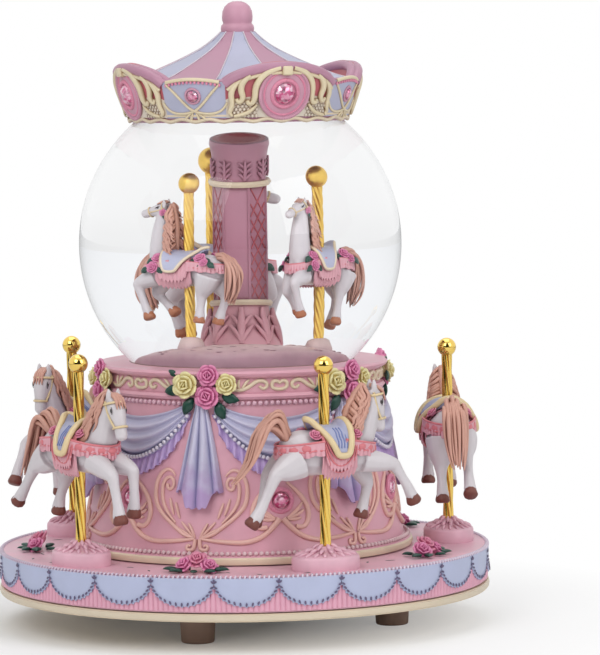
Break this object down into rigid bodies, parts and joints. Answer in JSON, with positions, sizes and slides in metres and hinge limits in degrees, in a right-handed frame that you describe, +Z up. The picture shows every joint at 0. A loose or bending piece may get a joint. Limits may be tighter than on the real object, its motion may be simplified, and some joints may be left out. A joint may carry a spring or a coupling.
{
  "type": "carousel music box",
  "caption": "Ornate carousel music box: a turning platform of horses round a flared drum that carries a water globe with a small carousel inside, under a jewelled canopy.",
  "frame": {"origin": "middle of the floor under the feet", "axes": "+Z up along the axis of both carousels, -Y is the front"},
  "size_m": [0.182, 0.182, 0.231],
  "materials": {
    "cream_resin": "painted cast resin",
    "pink_resin": "painted cast resin with relief",
    "lavender_resin": "painted cast resin drapery",
    "rose_paint": "painted resin roses and leaves",
    "horse_enamel": "hand painted resin",
    "gilt_metal": "twisted, gilt",
    "finial_resin": "painted cast resin",
    "gem_acrylic": "cut and polished",
    "globe_glass": "clear, filled with water",
    "foot_rubber": "matt",
    "plug_rubber": "translucent matt",
    "screw_steel": "plain",
    "bush_brass": "plain",
    "gear_plastic": "moulded",
    "deck_plastic": "moulded",
    "knob_plastic": "moulded",
    "motor_steel": "plated",
    "board_laminate": "solder mask",
    "receiver_plastic": "dark lens",
    "cell_jacket": "plain jacket"
  },
  "bodies": {
    "base": {"base_plate": "cream_resin", "rubber_feet": "foot_rubber", "base_screws": "screw_steel", "platform_glides": "gear_plastic", "speaker": "motor_steel", "control_board": "board_laminate", "battery_box": "deck_plastic", "battery_cells": "cell_jacket", "battery_contacts": "bush_brass", "switch_body": "deck_plastic", "mechanism_deck": "deck_plastic", "deck_screws": "screw_steel", "motor_screws": "screw_steel", "shaft_bush": "bush_brass", "gear_motor": "motor_steel", "ir_receiver": "receiver_plastic", "drum_shell": "pink_resin", "drum_gems": "gem_acrylic", "drum_roses": "rose_paint", "drum_tails": "lavender_resin", "drum_swags": "lavender_resin", "globe": "globe_glass", "globe_gasket": "foot_rubber", "globe_plug": "plug_rubber", "shaft_seal": "foot_rubber", "led_board": "board_laminate", "canopy": "pink_resin", "canopy_large_gems": "gem_acrylic", "canopy_small_gems": "gem_acrylic", "finial": "finial_resin"},
    "outer_carousel": {"platform": "pink_resin", "ring_gear": "gear_plastic", "ring_gear_screws": "screw_steel", "pole_pedestals": "pink_resin", "platform_roses": "rose_paint", "outer_pole_1": "gilt_metal", "outer_pole_2": "gilt_metal", "outer_pole_3": "gilt_metal", "outer_pole_4": "gilt_metal", "outer_pole_5": "gilt_metal", "outer_horse_1": "horse_enamel", "outer_horse_2": "horse_enamel", "outer_horse_3": "horse_enamel", "outer_horse_4": "horse_enamel", "outer_horse_5": "horse_enamel"},
    "inner_carousel": {"inner_turntable": "pink_resin", "inner_column": "pink_resin", "drive_shaft": "screw_steel", "sun_gear": "gear_plastic", "inner_pole_1": "gilt_metal", "inner_pole_2": "gilt_metal", "inner_pole_3": "gilt_metal", "inner_horse_1": "horse_enamel", "inner_horse_2": "horse_enamel", "inner_horse_3": "horse_enamel"},
    "motor_output": {"motor_pinion": "gear_plastic", "pinion_shaft": "screw_steel"},
    "battery_door": {"battery_door": "deck_plastic"},
    "switch_knob": {"power_switch": "knob_plastic"}
  },
  "joints": [
    {"name": "outer_spin", "type": "hinge", "parent": "base", "child": "outer_carousel", "pos_m": [0, 0, 0.02], "axis": [0, 0, 1], "continuous": true},
    {"name": "inner_spin", "type": "hinge", "parent": "base", "child": "inner_carousel", "pos_m": [0, 0, 0.1], "axis": [0, 0, 1], "continuous": true},
    {"name": "pinion_spin", "type": "hinge", "parent": "base", "child": "motor_output", "pos_m": [0.02546, 0.02546, 0.035], "axis": [0, 0, 1], "continuous": true},
    {"name": "battery_door_hinge", "type": "hinge", "parent": "base", "child": "battery_door", "pos_m": [0, -0.0216, 0.0133], "axis": [-1, 0, 0], "range_deg": [0, 100]},
    {"name": "power_switch_slide", "type": "slide", "parent": "base", "child": "switch_knob", "axis": [1, 0, 0], "range_m": [0, 0.004]}
  ],
  "couplings": [
    {"joint": "inner_spin", "follows": "outer_spin", "ratio": -2},
    {"joint": "pinion_spin", "follows": "outer_spin", "ratio": 4}
  ]
}
